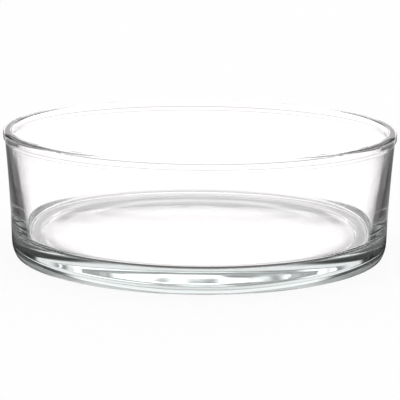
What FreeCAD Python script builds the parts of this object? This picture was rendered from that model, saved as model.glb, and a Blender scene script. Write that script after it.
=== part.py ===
# Low round bowl of clear pressed glass for floating candles, modelled in millimetres.
# It is one piece of glass: a bead round the rim, a wall that thickens downwards round a
# tapering cavity, a thick base, a rounded heel, and a shallow recess under the base that
# leaves a ring for the bowl to stand on.
# +Z is up, and the origin is the centre of that ring, on the surface that it stands on.
import FreeCAD, Part
import Sketcher
import enum
import math
import os

# Driving sizes. Each becomes a cell of the sheet, under the same name.
DRIVING_SIZES = {
    # Overall size, over the bead
    "rim_diameter": 250.0,
    "bowl_height": 80.0,
    # Bead: its reach past the wall, its thickness and depth, its outer round, and the height
    # of the slope inside it
    "bead_reach": 1.25,
    "bead_thickness": 5.2,
    "bead_depth": 7.3,
    "bead_outer_round": 3.2,
    "bead_inner_slope": 1.8,
    # Outer wall: how far it draws in from the bead to the heel, and its sweep's radius
    "wall_taper": 3.4,
    "wall_sweep": 950.0,
    # Heel: its height, its sweep's radius, and the round where it meets the ring
    "heel_height": 9.2,
    "heel_sweep": 18.0,
    "foot_round": 4.6,
    # Recess: glass outside it, its depth, and the run of its sloping side
    "recess_inset": 18.0,
    "recess_depth": 1.4,
    "recess_side_run": 1.6,
    # Cavity: its taper from the mouth to the floor, the floor's level, and the round of the
    # corner between them
    "cavity_taper": 7.0,
    "floor_height": 14.5,
    "floor_round": 5.0,
}

# Places worked out from the driving sizes, as formulas that the sheet reads too
ZERO = "0"
RIM_RADIUS = "rim_diameter / 2"
NECK_RADIUS = RIM_RADIUS + " - bead_reach"
NECK_HEIGHT = "bowl_height - bead_depth"
BEAD_WIDEST_HEIGHT = "bowl_height - bead_outer_round"
BEAD_CROWN_RADIUS = RIM_RADIUS + " - bead_outer_round"
HEEL_RADIUS = NECK_RADIUS + " - wall_taper"
FOOT_RADIUS = HEEL_RADIUS + " - heel_sweep + sqrt( heel_sweep ^ 2 - heel_height ^ 2 )"
RECESS_RADIUS = HEEL_RADIUS + " - recess_inset"
ROOF_RADIUS = RECESS_RADIUS + " - recess_side_run"
MOUTH_RADIUS = RIM_RADIUS + " - bead_thickness"
MOUTH_HEIGHT = "bowl_height - bead_inner_slope"
FLOOR_RADIUS = MOUTH_RADIUS + " - cavity_taper"

NODE = "glass_bowl"
SHEET = "sizes"
# The ends of an edge, by the numbers that a sketch knows them by
End = enum.IntEnum("End", ["START", "FINISH"])


def make_sheet(document):
    """Give every driving size a cell of its own, under its name."""
    sheet = document.addObject("Spreadsheet::Sheet", SHEET)
    for row, (name, value) in enumerate(DRIVING_SIZES.items(), start=1):
        sheet.set("A%d" % row, name)
        sheet.set("B%d" % row, str(value))
        sheet.setAlias("B%d" % row, name)
    document.recompute()
    return sheet


def in_cells(formula):
    """Write a formula in driving sizes as an expression that reads the sheet."""
    words = formula.split()
    return " ".join(SHEET + "." + word if word in DRIVING_SIZES else word for word in words)


def worked_out(sheet, formula):
    """Work out a formula in driving sizes."""
    return float(sheet.evalExpression(in_cells(formula)))


def arc_between(start, end, radius, side):
    """Arc of this radius between two points, drawn anticlockwise, that bulges to the left or
    the right of the way from start to end."""
    way = end - start
    rise = radius - math.sqrt(radius ** 2 - (way.Length / 2) ** 2)
    left = FreeCAD.Vector(-way.y, way.x, 0).normalize()
    if side == "right":
        return Part.Arc(start, (start + end) / 2 - left * rise, end)
    return Part.Arc(end, (start + end) / 2 + left * rise, start)


def end_near(sketch, edge, point):
    """The end of an edge that lies at a point."""
    gaps = {end: (sketch.getPoint(edge, int(end)) - point).Length for end in End}
    return (edge, int(min(gaps, key=gaps.get)))


def bind(sheet, sketch, kind, label, formula, *places):
    """Add a named dimension that follows a formula in the sheet."""
    value = worked_out(sheet, formula)
    number = sketch.addConstraint(Sketcher.Constraint(kind, *places, value))
    sketch.renameConstraint(number, label)
    sketch.setExpression("Constraints." + label, in_cells(formula))


def draw_section(sheet, body, name, corners, arcs, rounds):
    """Draw a closed half section on the body's upright plane, with radius to the right and
    height upwards.

    corners gives each corner's radius and height as formulas, in order round the section.
    arcs gives, by the corner that it starts from, each curved edge's radius and the side of
    the way that it bulges to. The other edges are straight. rounds gives each round's radius
    by the corner that it cuts off."""
    sketch = body.newObject("Sketcher::SketchObject", name)
    upright = [plane for plane in body.Origin.OriginFeatures if plane.Role == "XZ_Plane"]
    sketch.AttachmentSupport = [(upright[0], "")]
    sketch.MapMode = "FlatFace"

    names = list(corners)
    points = {corner: FreeCAD.Vector(worked_out(sheet, radius), worked_out(sheet, height), 0)
              for corner, (radius, height) in corners.items()}
    edges = {}
    for corner, following in zip(names, names[1:] + names[:1]):
        edge = Part.LineSegment(points[corner], points[following])
        if corner in arcs:
            radius, side = arcs[corner]
            edge = arc_between(points[corner], points[following], worked_out(sheet, radius), side)
        edges[corner] = sketch.addGeometry(edge, False)
    for corner, (radius, side) in arcs.items():
        bind(sheet, sketch, "Radius", corner + "_sweep", radius, edges[corner])

    for before, corner, following in zip(names[-1:] + names, names, names[1:] + names[:1]):
        point = points[corner]
        arriving = edges[before]
        leaving = edges[corner]
        if corner in rounds:
            place = round_corner(sheet, sketch, arriving, leaving,
                                 points[before], point, points[following], rounds[corner])
        else:
            place = end_near(sketch, leaving, point)
            sketch.addConstraint(Sketcher.Constraint(
                "Coincident", *end_near(sketch, arriving, point), *place))
        radius, height = corners[corner]
        bind(sheet, sketch, "DistanceX", corner + "_radius", radius, *place)
        bind(sheet, sketch, "DistanceY", corner + "_height", height, *place)
    return sketch


def round_corner(sheet, sketch, arriving, leaving, before, corner, following, size):
    """Cut a corner off with a round that is tangent to both edges, and keep the corner as a
    construction point on both of them, which is returned."""
    radius = worked_out(sheet, size)
    towards = []
    for end in (before, following):
        reach = min(radius, (end - corner).Length / 2)
        towards.append(corner + (end - corner).normalize() * reach)
    sketch.fillet(arriving, leaving, *towards, radius, True, False)
    bind(sheet, sketch, "Radius", size, size, sketch.GeometryCount - 1)
    mark = (sketch.addGeometry(Part.Point(corner), True), int(End.START))
    for edge in (arriving, leaving):
        sketch.addConstraint(Sketcher.Constraint("PointOnObject", *mark, edge))
    return mark


def make_bowl(document, sheet):
    """The bowl: its half section, turned once round the upright axis."""
    body = document.addObject("PartDesign::Body", NODE)
    body.Label = NODE
    section = draw_section(sheet, body, "glass_section", corners={
        "roof_middle": (ZERO, "recess_depth"),
        "roof_edge": (ROOF_RADIUS, "recess_depth"),
        "recess_edge": (RECESS_RADIUS, ZERO),
        "foot": (FOOT_RADIUS, ZERO),
        "heel": (HEEL_RADIUS, "heel_height"),
        "neck": (NECK_RADIUS, NECK_HEIGHT),
        "bead_widest": (RIM_RADIUS, BEAD_WIDEST_HEIGHT),
        "bead_crown": (BEAD_CROWN_RADIUS, "bowl_height"),
        "mouth": (MOUTH_RADIUS, MOUTH_HEIGHT),
        "floor_corner": (FLOOR_RADIUS, "floor_height"),
        "floor_middle": (ZERO, "floor_height"),
    }, arcs={
        "foot": ("heel_sweep", "right"),
        "heel": ("wall_sweep", "left"),
        "bead_widest": ("bead_outer_round", "right"),
    }, rounds={
        "foot": "foot_round",
        "floor_corner": "floor_round",
    })
    glass = body.newObject("PartDesign::Revolution", "glass")
    glass.Profile = section
    glass.ReferenceAxis = (section, ["V_Axis"])
    body.Placement = FreeCAD.Placement()
    return body


def check(document, bodies):
    """Stop if any object failed, or if a piece isn't one sound solid."""
    document.recompute()
    for thing in document.Objects:
        if "Invalid" in thing.State or "Error" in thing.State:
            raise RuntimeError(thing.Name + " failed: " + ", ".join(thing.State))
    for body in bodies:
        shape = body.Shape
        if shape.isNull() or not shape.isValid() or len(shape.Solids) != 1:
            raise RuntimeError(body.Label + " is not one sound solid")


def main():
    document = FreeCAD.newDocument("floating_candle_bowl")
    sheet = make_sheet(document)
    bodies = [make_bowl(document, sheet)]
    check(document, bodies)
    os.makedirs("parts", exist_ok=True)
    for body in bodies:
        body.Shape.exportStep("parts/" + body.Label + ".step")
        box = body.Shape.optimalBoundingBox()
        print("%s: %.2f x %.2f x %.2f mm, %.1f cm3" % (
            body.Label, box.XLength, box.YLength, box.ZLength, body.Shape.Volume / 1e3))


main()
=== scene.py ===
"""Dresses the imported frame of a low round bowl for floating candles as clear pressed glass,
and stands it in a plain pale studio."""
import math

import bpy
import numpy as np
from mathutils import Matrix, Vector


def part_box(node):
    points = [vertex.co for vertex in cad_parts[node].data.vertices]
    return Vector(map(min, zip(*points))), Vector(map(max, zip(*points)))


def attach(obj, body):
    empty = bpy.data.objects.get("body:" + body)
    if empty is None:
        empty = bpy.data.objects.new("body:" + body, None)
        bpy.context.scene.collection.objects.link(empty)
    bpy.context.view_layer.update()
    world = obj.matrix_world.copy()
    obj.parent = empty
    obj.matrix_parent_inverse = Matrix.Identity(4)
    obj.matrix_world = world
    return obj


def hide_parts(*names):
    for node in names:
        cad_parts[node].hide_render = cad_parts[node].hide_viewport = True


bl_info = {
    "name": "Floating candle bowl",
    "version": (1, 0, 0),
    "blender": (4, 5, 0),
    "location": "3D View > Sidebar > Candle bowl",
    "description": "Makes the clear glass of a floating candle bowl on its CAD frame, and a pale studio",
    "category": "Object",
}

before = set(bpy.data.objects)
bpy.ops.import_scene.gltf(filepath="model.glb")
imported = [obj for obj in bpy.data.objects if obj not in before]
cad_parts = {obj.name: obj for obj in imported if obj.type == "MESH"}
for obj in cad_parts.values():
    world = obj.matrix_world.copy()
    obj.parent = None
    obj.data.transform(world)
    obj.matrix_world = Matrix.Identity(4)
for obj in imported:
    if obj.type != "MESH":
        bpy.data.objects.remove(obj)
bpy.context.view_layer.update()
BOWL_NODE = "glass_bowl"
BOWL_LOW, BOWL_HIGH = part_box(BOWL_NODE)
RIM_RADIUS = (BOWL_HIGH[0] - BOWL_LOW[0]) / 2
BOWL_HEIGHT = BOWL_HIGH[2] - BOWL_LOW[2]

# One millimetre. Lengths are in metres unless a note says otherwise.
MM = 0.001

# The section's rounds and the places of its small corners: how far the bead's face reaches down
# from the rim, the height at which the heel's curve ends, how far the foot's corner lies inside
# the heel, and how far the side of the recess runs in from the ring.
BEAD_INNER_ROUND = 1.2 * MM
BEAD_OUTER_ROUND = 2.4 * MM
BEAD_FACE = 5.0 * MM
BEAD_LOWER_ROUND = 3.0 * MM
CREASE_ROUND = 2.0 * MM
HEEL_END = 2.4 * MM
FOOT_REACH = 2.5 * MM
FOOT_ROUND = 3.6 * MM
RING_ROUND = 0.6 * MM
RECESS_RUN = 1.6 * MM
RECESS_ROUND = 1.0 * MM

# Edges of the section along the hollow wall, the heel and the dome of the recess. The radius
# SWEPT is more than any edge has room for, so rounded_line makes them smooth curves.
WALL_EDGES = 8
HEEL_EDGES = 3
DOME_EDGES = 14
SWEPT = 1.0e3

# For rounded_line: the largest turn in degrees between neighbouring points of an arc, the turn in
# radians under which a corner counts as straight, and how close two points lie that count as one.
ARC_STEP = 4
STRAIGHT = 1.0e-7
SAME_PLACE = 1.0e-3 * MM

# Cells to a metre of the noise that the slow waves in the glass are drawn from.
RIPPLE_SCALE = 38.0

# Sides of the round floor and of the tent, steps from the tent's foot to its top, and the gap
# between the floor and the ring that the bowl stands on.
STUDIO_SIDES = 96
TENT_STEPS = 24
FLOOR_GAP = 0.2 * MM

# Seen past the glass, the floor is a mix of pale paper, lit by the room and shaded by the bowl,
# and of plain white, which has this share of the mix. Seen by way of the glass, the floor and
# the tent have a faint pink cast.
WHITE = (1.0, 1.0, 1.0, 1.0)
PAPER = (0.95, 0.95, 0.95, 1.0)
PLAIN_WHITE_SHARE = 0.85
FLOOR_CAST = (1.0, 0.97, 0.975, 1.0)
TENT_CAST_GREEN = 0.975
TENT_CAST_BLUE = 0.98

# Painted patches of light and shade, grey and white: the noise they are drawn from, the part of
# it over which grey turns to white, and what the brightness of a place is multiplied by in grey
# and in white. They come in on the floor between two distances from its middle, and go out on the
# tent between two heights.
PATCH_NOISE = {"Scale": 1.5, "Detail": 2.0, "Roughness": 0.4}
PATCH_EDGE = (0.43, 0.52)
PATCH_LEVELS = (0.55, 2.4)
FLOOR_PATCHES_IN = (0.2, 0.3)
TENT_PATCHES_OUT = (1.1, 1.5)

# The photograph's camera: how far it stands from the point that it aims at, how steeply it looks
# down, how far it leans to one side, that point, and its sensor and lens in millimetres.
CAMERA_DISTANCE = 1.0625
CAMERA_RISE = math.radians(11.493)
CAMERA_ROLL = math.radians(0.5395)
CAMERA_AIM = (0.33 * MM, 0.0, 32.3 * MM)
SENSOR_WIDTH = 36.0
LENS_LENGTH = 148.5

# Painted brightness of the floor for light that came straight through the glass, as stops of
# (distance from the floor's middle in millimetres, brightness). They paint rings of light and shade
# in place of those that the thick base throws, and were set ring by ring against the photograph.
# Each row takes over from the row before between two bearings: 1 is behind the bowl, 0 beside it, -1 in
# front.
FLOOR_STRAIGHT = (
    (None, (
        (0, 1.55), (66, 1.6), (72, 2.1), (79, 2.1), (84, 1.4), (93, 1.4), (97, 0.8), (102, 0.7),
        (105, 0.45), (109, 1.1), (113, 1.6), (140, 1.4), (1000, 1.2))),
    ((-0.75, -0.45), (
        (0, 1.45), (93, 1.5), (96, 1.0), (101, 0.6), (106, 0.48), (109, 0.75), (114, 1.2),
        (117, 1.8), (140, 1.4), (1000, 1.2))),
    ((-0.35, -0.05), (
        (0, 1.36), (80, 1.4), (92, 1.25), (97, 1.0), (101, 1.1), (103.8, 1.1), (104.6, 0.5),
        (109, 0.5), (112, 1.6), (115, 1.9), (140, 1.5), (1000, 1.2))),
    ((0.05, 0.3), (
        (0, 1.34), (64, 1.3), (74, 1.1), (85, 0.95), (92, 0.9), (93.5, 0.38), (98.5, 0.32),
        (99.6, 0.9), (100.6, 2.2), (101.6, 1.4), (103, 0.45), (105, 0.55), (107.7, 0.75),
        (110, 0.6), (111.5, 0.6), (113, 0.8), (115, 1.5), (117.5, 2.3), (122, 1.9), (140, 1.6),
        (260, 1.7), (500, 1.2), (1000, 1.1))),
    ((0.42, 0.56), (
        (0, 1.3), (60, 1.25), (72, 0.9), (80, 0.72), (83.5, 0.55), (85, 0.8), (86.8, 1.4),
        (88.4, 1.2), (90.5, 0.6), (93, 0.36), (100, 0.45), (103.5, 0.5), (105, 1.0), (106.8, 1.1),
        (108.5, 0.55), (110, 0.6), (113, 1.0), (119, 1.2), (140, 1.5), (180, 1.75), (260, 1.75),
        (500, 1.2), (640, 1.12), (665, 0.8), (1000, 0.8))),
    ((0.72, 0.9), (
        (0, 1.35), (50, 1.3), (61, 1.07), (68, 0.88), (74.6, 0.54), (84, 0.45), (88.4, 0.8),
        (91, 1.3), (93, 1.2), (95.6, 0.62), (99, 0.38), (103, 0.38), (105, 1.2), (107, 1.4),
        (109, 0.7), (111, 0.75), (113, 1.15), (119, 1.2), (140, 1.4), (400, 1.4), (640, 1.12),
        (665, 0.8), (1000, 0.8))),
)
# The same for light that the glass threw back once.
FLOOR_ONCE = (
    (None, (
        (0, 0.3), (100, 0.05), (114, 0.05), (118, 1.5), (185, 1.4), (200, 0.1), (250, 0.1),
        (300, 0.4), (700, 0.55))),
    ((-0.75, -0.62), (
        (0, 0.2), (110, 0.08), (120, 0.0), (138, 0.0), (150, 0.2), (185, 0.24), (200, 0.34),
        (245, 0.3), (270, 0.1), (700, 0.0))),
    ((0.4, 0.6), (
        (0, 0.6), (90, 0.7), (100, 0.9), (115, 0.65), (190, 0.65), (220, 0.4), (300, 0.26),
        (700, 0.3))),
)
# The same for light that the glass threw back twice or three times.
FLOOR_TWICE = (
    (None, (
        (0, 1.05), (110, 1.1), (120, 1.7), (150, 1.5), (175, 1.3), (200, 0.9), (260, 1.2),
        (400, 1.4), (700, 1.15))),
    ((0.4, 0.6), (
        (0, 1.15), (110, 1.1), (118, 0.1), (150, 0.0), (178, 0.0), (184, 1.6), (210, 1.6),
        (700, 0.7))),
    ((0.7, 0.85), (
        (0, 1.15), (110, 1.1), (118, 0.3), (150, 0.05), (158, 0.1), (164, 1.8), (190, 1.9),
        (210, 1.6), (260, 1.25), (600, 1.15), (700, 0.7))),
)
# The same for light that the glass threw back four times or more.
FLOOR_OFTEN = (
    (None, (
        (0, 2.4), (110, 2.4), (120, 1.0), (155, 0.9), (170, 0.5), (700, 0.65))),
)
# Painted brightness of the tent, as the glass shows it, for the same four kinds of light, as
# stops of (height in millimetres, brightness).
TENT_STRAIGHT = (
    (None, (
        (0, 0.7), (1050, 0.75), (1250, 1.8), (3000, 1.8))),
    ((0.88, 0.94), (
        (0, 1.2), (1050, 1.3), (1250, 1.3), (3000, 1.3))),
)
TENT_ONCE = (
    (None, (
        (0, 0.0), (400, 0.05), (500, 0.25), (750, 0.25), (850, 0.13), (2000, 0.13), (2300, 0.28),
        (3000, 0.28))),
    ((-0.6, -0.4), (
        (0, 0.0), (400, 0.05), (500, 0.3), (750, 0.3), (900, 0.5), (1200, 0.5), (1350, 1.05),
        (2000, 1.05), (2250, 0.36), (3000, 0.36))),
    ((0.45, 0.6), (
        (0, 0.24), (400, 0.2), (500, 0.02), (600, 0.2), (750, 0.25), (900, 1.5), (1200, 1.7),
        (1350, 1.3), (2000, 1.3), (2250, 0.5), (3000, 0.5))),
    ((0.86, 0.92), (
        (0, 2.1), (380, 2.1), (440, 0.95), (520, 0.95), (560, 1.1), (740, 1.1), (820, 0.5),
        (1200, 0.5), (1350, 1.6), (2000, 1.6), (2250, 0.5), (3000, 0.5))),
)
TENT_TWICE = (
    (None, (
        (0, 0.9), (450, 0.8), (600, 0.35), (1200, 0.35), (1400, 0.75), (3000, 0.95))),
    ((0.4, 0.6), (
        (0, 1.16), (500, 1.25), (1200, 1.3), (1350, 1.06), (3000, 1.08))),
)
TENT_OFTEN = (
    (None, (
        (0, 0.9), (1200, 1.1), (1350, 1.47), (2200, 1.45), (2400, 1.0), (3000, 1.0))),
)


def length(name, description, millimetres):
    """A property that keeps a length in metres. Its usual value is given in millimetres."""
    return bpy.props.FloatProperty(name=name, description=description, default=millimetres * MM,
                                   unit="LENGTH")


class BowlSizes(bpy.types.PropertyGroup):
    """Sizes of the glass."""
    bead_thickness: length("Bead thickness", "Glass across the bead of the rim", 5.2)
    bead_reach: length("Bead reach", "How far the bead stands out from the wall under it", 1.25)
    bead_depth: length("Bead depth", "From the top of the rim down to the crease under the bead", 7.3)
    wall_taper: length("Wall taper", "How far the outer wall draws in from crease to heel", 3.4)
    wall_hollow: length("Wall hollow", "How far the swept outer wall lies inside a straight line", 0.5)
    heel_height: length("Heel height", "Height at which the wall begins to turn under", 9.2)
    heel_sweep: length("Heel sweep", "Radius of the heel's curve", 18.0)
    cavity_taper: length("Cavity taper", "How far the cavity draws in from the rim to its floor", 7.0)
    floor_height: length("Floor height", "Level of the cavity's floor above the table", 14.5)
    floor_round: length("Floor round", "Round where the cavity's wall meets its floor", 5.0)
    ring_radius: length("Ring radius", "Inner radius of the ring that the bowl stands on", 102.4)
    recess_depth: length("Recess depth", "Depth of the recess at its side", 1.4)
    recess_dome: length("Recess dome", "Rise of the recess from its side to the middle", 0.8)
    segments: bpy.props.IntProperty(
        name="Segments", description="Faces round the bowl", default=384, min=32)


class GlassFinish(bpy.types.PropertyGroup):
    """Finish of the glass."""
    index: bpy.props.FloatProperty(
        name="Refractive index", description="Index of refraction of the glass", default=1.51)
    tint: bpy.props.FloatVectorProperty(
        name="Tint", description="Colour that light keeps in thick glass", subtype="COLOR",
        size=4, default=(0.635, 0.67, 0.665, 1.0), min=0.0, max=1.0)
    density: bpy.props.FloatProperty(
        name="Tint density", description="How fast the glass takes the other colours out", default=10.0)
    ripple: length("Ripple", "Height of the slow waves that pressing leaves", 0.03)


class StudioSettings(bpy.types.PropertyGroup):
    """Size of the studio."""
    tent_radius: bpy.props.FloatProperty(
        name="Tent radius", description="Radius of the pale floor and of the tent over it",
        default=3.0, unit="LENGTH")


def rounded_line(corners, radii):
    """A line through corners, an array of (radius, height), with every corner between its ends
    replaced by an arc of the given radius that touches both of its edges. An arc takes up half
    of an edge at most, so SWEPT gives one smooth curve through the middles of the edges.
    The centre of an arc lies on the line that halves the corner, at its radius over the sine of
    half the angle, and the arc's points are that centre plus or minus the radius times a normal
    that turns evenly from one edge's normal to the other's.
    Gives the points, and at each the normal to the left of the way along the line."""
    corners = np.asarray(corners, float)
    ways = np.diff(corners, axis=0)
    lengths = np.linalg.norm(ways, axis=1)
    ways = ways / lengths[:, None]
    lefts = np.stack([-ways[:, 1], ways[:, 0]], axis=1)
    turns = np.arctan2(ways[:-1, 0] * ways[1:, 1] - ways[:-1, 1] * ways[1:, 0],
                       (ways[:-1] * ways[1:]).sum(axis=1))
    room = lengths.copy()
    room[1:-1] /= 2
    points, normals = [corners[:1]], [lefts[:1]]
    for k, turn in enumerate(turns):
        corner = corners[k + 1]
        if abs(turn) < STRAIGHT:
            continue
        half = math.tan(abs(turn) / 2)
        reach = min(radii[k] * half, room[k], room[k + 1])
        radius = reach / half
        count = max(2, int(math.degrees(abs(turn)) / ARC_STEP) + 2)
        angles = np.linspace(0.0, turn, count)
        left = lefts[k]
        normal = np.stack([left[0] * np.cos(angles) - left[1] * np.sin(angles),
                           left[0] * np.sin(angles) + left[1] * np.cos(angles)], axis=1)
        side = math.copysign(radius, turn)
        centre = corner - ways[k] * reach + left * side
        points.append(centre - normal * side)
        normals.append(normal)
    points.append(corners[-1:])
    normals.append(lefts[-1:])
    points, normals = np.concatenate(points), np.concatenate(normals)
    apart = np.linalg.norm(np.diff(points, axis=0), axis=1) > SAME_PLACE
    kept = np.concatenate([[True], apart])
    return points[kept], normals[kept]


def shares_between(edges):
    """Even shares of the way along a curve, at the corners between this many edges."""
    return np.linspace(0.0, 1.0, edges + 1)[1:-1]


def glass_section(sizes):
    """Half section of the glass as a line of (radius, height), from the middle of the cavity's
    floor out and up the cavity's wall, over the bead, down the outer wall, round the heel, over
    the ring, and in over the recess to the middle. Air is on the left of the way."""
    mouth = RIM_RADIUS - sizes.bead_thickness
    neck = RIM_RADIUS - sizes.bead_reach
    crease = BOWL_HEIGHT - sizes.bead_depth
    heel = neck - sizes.wall_taper
    inner = sizes.ring_radius - RECESS_RUN
    line, rounds = [], []

    def add(radius, height, corner_round):
        line.append((radius, height))
        rounds.append(corner_round)

    add(0.0, sizes.floor_height, 0.0)
    add(mouth - sizes.cavity_taper, sizes.floor_height, sizes.floor_round)
    add(mouth, BOWL_HEIGHT, BEAD_INNER_ROUND)
    add(RIM_RADIUS, BOWL_HEIGHT, BEAD_OUTER_ROUND)
    add(RIM_RADIUS, BOWL_HEIGHT - BEAD_FACE, BEAD_LOWER_ROUND)
    add(neck, crease, CREASE_ROUND)
    # A parabola between the crease and the heel, at its deepest half way down.
    for share in shares_between(WALL_EDGES):
        add(neck - sizes.wall_taper * share - 4 * sizes.wall_hollow * share * (1 - share),
            crease + (sizes.heel_height - crease) * share, SWEPT)
    # A circle that is upright at the heel's height.
    for height in np.linspace(sizes.heel_height, HEEL_END, HEEL_EDGES + 1):
        drop = sizes.heel_height - height
        add(heel - sizes.heel_sweep + math.sqrt(sizes.heel_sweep ** 2 - drop ** 2), height, SWEPT)
    add(heel - FOOT_REACH, 0.0, FOOT_ROUND)
    add(sizes.ring_radius, 0.0, RING_ROUND)
    add(inner, sizes.recess_depth, RECESS_ROUND)
    # A parabola with its top in the middle.
    for share in shares_between(DOME_EDGES):
        add(inner * (1 - share), sizes.recess_depth + sizes.recess_dome * share * (2 - share), SWEPT)
    add(0.0, line[-1][1], 0.0)
    return rounded_line(line, rounds[1:-1])


def turned(name, points, normals, segments):
    """A closed surface made by turning a half section about the upright axis: a point of
    (radius, height) becomes (radius cos a, radius sin a, height) at every angle a. Its first and
    last points lie on the axis and close it with fans. The normals are turned in the same way."""
    angles = np.linspace(0.0, 2 * np.pi, segments, endpoint=False)
    cosines, sines = np.cos(angles), np.sin(angles)

    def spun(pairs):
        across = pairs[1:-1, 0][:, None]
        up = np.broadcast_to(pairs[1:-1, 1][:, None], (len(pairs) - 2, segments))
        return np.stack([across * cosines, across * sines, up], axis=-1).reshape(-1, 3)

    vertices = np.concatenate([[[0.0, 0.0, points[0, 1]]], spun(points), [[0.0, 0.0, points[-1, 1]]]])
    directions = np.concatenate([[[0.0, 0.0, 1.0]], spun(normals), [[0.0, 0.0, -1.0]]])
    rings = 1 + np.arange((len(points) - 2) * segments).reshape(-1, segments)
    following = np.roll(rings, -1, axis=1)
    quads = np.stack([rings[:-1], rings[1:], following[1:], following[:-1]], axis=-1).reshape(-1, 4)
    first = np.stack([np.zeros(segments, int), rings[0], following[0]], axis=-1)
    last = np.stack([np.full(segments, len(vertices) - 1), following[-1], rings[-1]], axis=-1)
    mesh = bpy.data.meshes.new(name)
    mesh.from_pydata(vertices.tolist(), [], first.tolist() + quads.tolist() + last.tolist())
    mesh.polygons.foreach_set("use_smooth", np.ones(len(mesh.polygons), bool))
    mesh.normals_split_custom_set_from_vertices(directions.tolist())
    mesh.update()
    return placed(name, mesh)


def placed(name, mesh):
    """An object at the origin that shows the mesh."""
    piece = bpy.data.objects.new(name, mesh)
    bpy.context.scene.collection.objects.link(piece)
    return piece


class NodeBench:
    """Adds nodes to a tree, links them, and sets their plain values."""

    def __init__(self, tree):
        self.tree = tree

    def add(self, kind, inputs=(), **settings):
        """A new node. An input is given a plain value, or a socket to be linked to."""
        node = self.tree.nodes.new(kind)
        for key, value in settings.items():
            setattr(node, key, value)
        for key, value in dict(inputs).items():
            self.feed(node.inputs[key], value)
        return node

    def feed(self, socket, value):
        """Links a socket to the value if that is a socket too, and sets it to the value if not."""
        if isinstance(value, bpy.types.NodeSocket):
            self.tree.links.new(value, socket)
        else:
            socket.default_value = value

    def work_out(self, operation, *values, clamp=False):
        """The result of one piece of arithmetic, held between 0 and 1 if it is clamped."""
        node = self.add("ShaderNodeMath", dict(enumerate(values)), operation=operation)
        node.use_clamp = clamp
        return node.outputs[0]

    def blend(self, share, first, second):
        """The first value where the share is 0, the second where it is 1."""
        return self.add("ShaderNodeMix", {"Factor": share, "A": first, "B": second}).outputs["Result"]

    def curve(self, value, stops):
        """A brightness that changes evenly from stop to stop, each (place, brightness), and stays
        as it is past the last. The first stop's place is 0. The node's curve runs from 0 to 1
        both ways, so it holds shares of the last place and of the highest brightness."""
        top, peak = stops[-1][0], max(height for place, height in stops)
        node = self.add("ShaderNodeFloatCurve", {"Value": self.work_out("DIVIDE", value, top, clamp=True)})
        line = node.mapping.curves[0]
        for place, height in stops[1:-1]:
            line.points.new(place / top, height / peak)
        line.points[0].location = (0.0, stops[0][1] / peak)
        line.points[-1].location = (1.0, stops[-1][1] / peak)
        for point in line.points:
            point.handle_type = "VECTOR"
        node.mapping.update()
        return self.work_out("MULTIPLY", node.outputs["Value"], peak)

    def fade(self, value, low, high, start=0.0, end=1.0):
        """A smooth change from start to end as the value goes from low to high."""
        node = self.add("ShaderNodeMapRange",
                        {"Value": value, "From Min": low, "From Max": high, "To Min": start, "To Max": end},
                        interpolation_type="SMOOTHSTEP")
        return node.outputs[0]


def bench_for(owner):
    """A bench for the cleared node tree of a material or world, and the tree's output node."""
    owner.use_nodes = True
    owner.node_tree.nodes.clear()
    bench = NodeBench(owner.node_tree)
    kind = "ShaderNodeOutputWorld" if isinstance(owner, bpy.types.World) else "ShaderNodeOutputMaterial"
    return bench, bench.add(kind)


def clear_glass(finish):
    """Clear pressed glass: smooth, with slow waves left by the mould, and a faint tint in depth."""
    material = bpy.data.materials.new("clear_pressed_glass")
    bench, output = bench_for(material)
    place = bench.add("ShaderNodeTexCoord").outputs["Object"]
    slow = bench.add("ShaderNodeTexNoise", {"Vector": place, "Scale": RIPPLE_SCALE, "Detail": 1.0})
    bump = bench.add("ShaderNodeBump", {"Height": slow.outputs["Fac"], "Strength": 1.0,
                                        "Distance": finish.ripple})
    shader = bench.add("ShaderNodeBsdfPrincipled",
                       {"Base Color": WHITE, "Metallic": 0.0, "Roughness": 0.0, "IOR": finish.index,
                        "Transmission Weight": 1.0, "Normal": bump.outputs["Normal"]})
    depth = bench.add("ShaderNodeVolumeAbsorption",
                      {"Color": tuple(finish.tint), "Density": finish.density})
    bench.feed(output.inputs["Surface"], shader.outputs["BSDF"])
    bench.feed(output.inputs["Volume"], depth.outputs["Volume"])
    return material


class CANDLEBOWL_OT_press_glass(bpy.types.Operator):
    """Make the bowl's one piece of pressed glass"""
    bl_idname = "candlebowl.press_glass"
    bl_label = "Press the glass"

    def execute(self, context):
        sizes = context.scene.candlebowl_sizes
        points, normals = glass_section(sizes)
        glass = turned("pressed_glass", points, normals, sizes.segments)
        glass.data.materials.append(clear_glass(context.scene.candlebowl_glass))
        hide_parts(BOWL_NODE)
        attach(glass, "root")
        return {"FINISHED"}


def spread(bench, value, way, rows):
    """A brightness by place and bearing. Each row says from which bearing to which it takes over
    from the row before, and gives its stops, each (place in millimetres, brightness)."""
    result = 1.0
    for span, stops in rows:
        row = bench.curve(value, [(place * MM, height) for place, height in stops])
        result = row if span is None else bench.blend(bench.fade(way, *span), result, row)
    return result


def light_patches(bench, place):
    """Painted patches of light and shade, grey and white, by which a brightness is to be multiplied."""
    noise = bench.add("ShaderNodeTexNoise", {"Vector": place, **PATCH_NOISE})
    return bench.fade(noise.outputs["Fac"], *PATCH_EDGE, *PATCH_LEVELS)


def bearing(bench, place):
    """1 towards the back of the studio, 0 to its sides and -1 towards the camera."""
    flat = bench.add("ShaderNodeVectorMath", {0: place, 1: (1.0, 1.0, 0.0)}, operation="MULTIPLY")
    way = bench.add("ShaderNodeVectorMath", {0: flat.outputs["Vector"]}, operation="NORMALIZE")
    return bench.add("ShaderNodeSeparateXYZ", {"Vector": way.outputs["Vector"]}).outputs["Y"]


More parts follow.
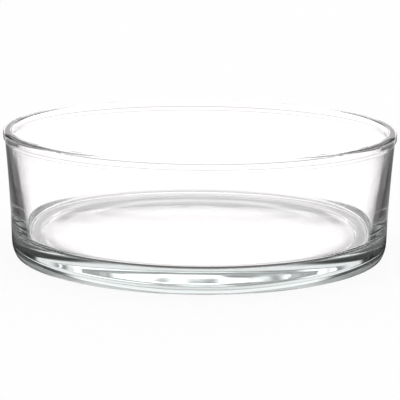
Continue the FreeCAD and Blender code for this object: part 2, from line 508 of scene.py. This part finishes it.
def glass_brightness(bench, path, value, way, tables, patches):
    """Painted brightness for light that comes by way of the glass, by place and bearing: it sets
    the light and shade that the glass shows. Its Glossy Depth tells how often the glass threw it
    back, and the four tables are for not at all, once, twice or three times, and four times or
    more. The painted patches of light and shade multiply the third alone."""
    straight, once, twice, often = (spread(bench, value, way, rows) for rows in tables)
    # The painted patches of light and shade multiply the brightness for two or three throws.
    patched = bench.work_out("MULTIPLY", twice, patches)
    result = straight
    for low, high, shade in ((0.0, 1.0, once), (1.0, 2.0, patched), (3.0, 4.0, often)):
        result = bench.blend(bench.fade(path["Glossy Depth"], low, high), result, shade)
    return result


def through_glass(bench, path):
    """1 for what is seen by way of the glass, 0 for what is seen past it and for plain light."""
    return bench.work_out("MAXIMUM", path["Is Glossy Ray"], path["Is Transmission Ray"])


def floor_material():
    """Pale floor. The camera sees it white with the soft shade that the bowl throws. Straight
    through the glass it has painted rings of light and shade in place of those that the thick
    glass throws under itself, and it is bright beyond them. For light that the glass threw back
    once it is mostly dim, which is painted shade, and for two or three times it has painted
    patches of light and shade away from the bowl."""
    material = bpy.data.materials.new("pale_floor")
    bench, output = bench_for(material)
    path = bench.add("ShaderNodeLightPath").outputs
    place = bench.add("ShaderNodeTexCoord").outputs["Object"]
    radius = bench.add("ShaderNodeVectorMath", {0: place}, operation="LENGTH").outputs["Value"]
    # Painted patches of light and shade on the floor, away from the bowl.
    patches = bench.blend(bench.fade(radius, *FLOOR_PATCHES_IN), 1.0, light_patches(bench, place))
    # Painted rings of light and shade, and painted dim and bright stretches, that the floor shows through
    # the glass.
    strength = glass_brightness(bench, path, radius, bearing(bench, place),
                                (FLOOR_STRAIGHT, FLOOR_ONCE, FLOOR_TWICE, FLOOR_OFTEN), patches)
    paper = bench.add("ShaderNodeBsdfDiffuse", {"Color": PAPER})
    white = bench.add("ShaderNodeEmission", {"Color": WHITE, "Strength": 1.0})
    seen = bench.add("ShaderNodeMixShader",
                     {"Fac": PLAIN_WHITE_SHARE, 1: paper.outputs[0], 2: white.outputs[0]})
    lit = bench.add("ShaderNodeEmission", {"Color": FLOOR_CAST, "Strength": strength})
    mix = bench.add("ShaderNodeMixShader",
                    {"Fac": through_glass(bench, path), 1: seen.outputs[0], 2: lit.outputs[0]})
    bench.feed(output.inputs["Surface"], mix.outputs[0])
    return material


def tent_material():
    """Pale tent over the floor: white to the camera, and an even light. Seen by way of the glass its
    brightness is painted light and shade: straight through the glass it is bright overhead and
    behind the bowl and dimmer at the sides. For light that the glass threw back once it has light
    and dark parts and is dim in front, and for two or three times its lower part has painted
    patches of light and shade."""
    material = bpy.data.materials.new("pale_tent")
    bench, output = bench_for(material)
    path = bench.add("ShaderNodeLightPath").outputs
    place = bench.add("ShaderNodeTexCoord").outputs["Object"]
    height = bench.add("ShaderNodeSeparateXYZ", {"Vector": place}).outputs["Z"]
    # Painted patches of light and shade on the tent's lower part.
    patches = bench.blend(bench.fade(height, *TENT_PATCHES_OUT), light_patches(bench, place), 1.0)
    # Painted light and shade that the tent shows through the glass.
    glass = glass_brightness(bench, path, height, bearing(bench, place),
                             (TENT_STRAIGHT, TENT_ONCE, TENT_TWICE, TENT_OFTEN), patches)
    through = through_glass(bench, path)
    colour = bench.add("ShaderNodeCombineColor",
                       {"Red": 1.0, "Green": bench.blend(through, 1.0, TENT_CAST_GREEN),
                        "Blue": bench.blend(through, 1.0, TENT_CAST_BLUE)})
    glow = bench.add("ShaderNodeEmission",
                     {"Color": colour.outputs[0], "Strength": bench.blend(through, 1.0, glass)})
    bench.feed(output.inputs["Surface"], glow.outputs[0])
    return material


def tent_mesh(radius):
    """Half a sphere over the floor: (cos e cos a, cos e sin a, sin e) times the radius."""
    around = np.linspace(0.0, 2 * np.pi, STUDIO_SIDES, endpoint=False)
    up = np.linspace(0.0, np.pi / 2, TENT_STEPS + 1)[:-1]
    grid = np.stack(np.broadcast_arrays(np.cos(up)[:, None] * np.cos(around),
                                        np.cos(up)[:, None] * np.sin(around),
                                        np.sin(up)[:, None]), axis=-1).reshape(-1, 3) * radius
    vertices = np.concatenate([grid, [[0.0, 0.0, radius]]])
    rings = np.arange(TENT_STEPS * STUDIO_SIDES).reshape(TENT_STEPS, STUDIO_SIDES)
    following = np.roll(rings, -1, axis=1)
    quads = np.stack([rings[:-1], rings[1:], following[1:], following[:-1]], axis=-1).reshape(-1, 4)
    cap = np.stack([rings[-1], np.full(STUDIO_SIDES, len(grid)), following[-1]], axis=-1)
    mesh = bpy.data.meshes.new("studio_tent")
    mesh.from_pydata(vertices.tolist(), [], quads.tolist() + cap.tolist())
    mesh.update()
    return mesh


def floor_mesh(radius):
    """A round floor just under the bowl's ring: one face through (radius cos a, radius sin a)."""
    around = np.linspace(0.0, 2 * np.pi, STUDIO_SIDES, endpoint=False)
    level = np.full(STUDIO_SIDES, -FLOOR_GAP)
    edge = np.stack([radius * np.cos(around), radius * np.sin(around), level], axis=-1)
    mesh = bpy.data.meshes.new("studio_floor")
    mesh.from_pydata(edge.tolist(), [], [list(range(STUDIO_SIDES))])
    mesh.update()
    return mesh


def photograph_camera(scene):
    """The photograph's camera: 1.06 m from the bowl, looking down 11.5 degrees, with a slight roll."""
    forward = Vector((0.0, math.cos(CAMERA_RISE), -math.sin(CAMERA_RISE)))
    right = Vector((1.0, 0.0, 0.0))
    up = right.cross(forward)
    across = right * math.cos(CAMERA_ROLL) + up * math.sin(CAMERA_ROLL)
    above = up * math.cos(CAMERA_ROLL) - right * math.sin(CAMERA_ROLL)
    lens = bpy.data.cameras.new("photograph_camera")
    lens.sensor_width = SENSOR_WIDTH
    lens.lens = LENS_LENGTH
    camera = bpy.data.objects.new("photograph_camera", lens)
    stand = Matrix((across, above, -forward)).transposed().to_4x4()
    stand.translation = Vector(CAMERA_AIM) - forward * CAMERA_DISTANCE
    camera.matrix_world = stand
    scene.collection.objects.link(camera)
    scene.camera = camera


class CANDLEBOWL_OT_set_studio(bpy.types.Operator):
    """Set the pale floor, the tent, the light and the photograph's camera"""
    bl_idname = "candlebowl.set_studio"
    bl_label = "Set the studio"

    def execute(self, context):
        scene = context.scene
        radius = scene.candlebowl_studio.tent_radius
        floor = placed("studio_floor", floor_mesh(radius))
        floor.data.materials.append(floor_material())
        tent = placed("studio_tent", tent_mesh(radius))
        tent.data.materials.append(tent_material())
        world = bpy.data.worlds.new("studio_air")
        bench, output = bench_for(world)
        air = bench.add("ShaderNodeBackground", {"Color": WHITE, "Strength": 1.0})
        bench.feed(output.inputs["Surface"], air.outputs[0])
        scene.world = world
        photograph_camera(scene)
        scene.view_settings.view_transform = "Standard"
        scene.cycles.max_bounces = 24
        scene.cycles.transmission_bounces = 16
        scene.cycles.glossy_bounces = 12
        return {"FINISHED"}


class CANDLEBOWL_PT_panel(bpy.types.Panel):
    """Lists the bowl's operators and settings."""
    bl_label = "Candle bowl"
    bl_idname = "CANDLEBOWL_PT_panel"
    bl_space_type = "VIEW_3D"
    bl_region_type = "UI"
    bl_category = "Candle bowl"

    def draw(self, context):
        scene = context.scene
        for operator in OPERATORS:
            self.layout.operator(operator.bl_idname)
        for group in (scene.candlebowl_sizes, scene.candlebowl_glass, scene.candlebowl_studio):
            box = self.layout.box()
            for name in group.__annotations__:
                box.prop(group, name)


OPERATORS = (CANDLEBOWL_OT_press_glass, CANDLEBOWL_OT_set_studio)
CLASSES = (BowlSizes, GlassFinish, StudioSettings) + OPERATORS + (CANDLEBOWL_PT_panel,)


def register():
    for kind in CLASSES:
        bpy.utils.register_class(kind)
    bpy.types.Scene.candlebowl_sizes = bpy.props.PointerProperty(type=BowlSizes)
    bpy.types.Scene.candlebowl_glass = bpy.props.PointerProperty(type=GlassFinish)
    bpy.types.Scene.candlebowl_studio = bpy.props.PointerProperty(type=StudioSettings)


def unregister():
    del bpy.types.Scene.candlebowl_studio
    del bpy.types.Scene.candlebowl_glass
    del bpy.types.Scene.candlebowl_sizes
    for kind in reversed(CLASSES):
        bpy.utils.unregister_class(kind)


def main():
    register()
    bpy.ops.candlebowl.press_glass()
    bpy.ops.candlebowl.set_studio()


if __name__ == "__main__":
    main()
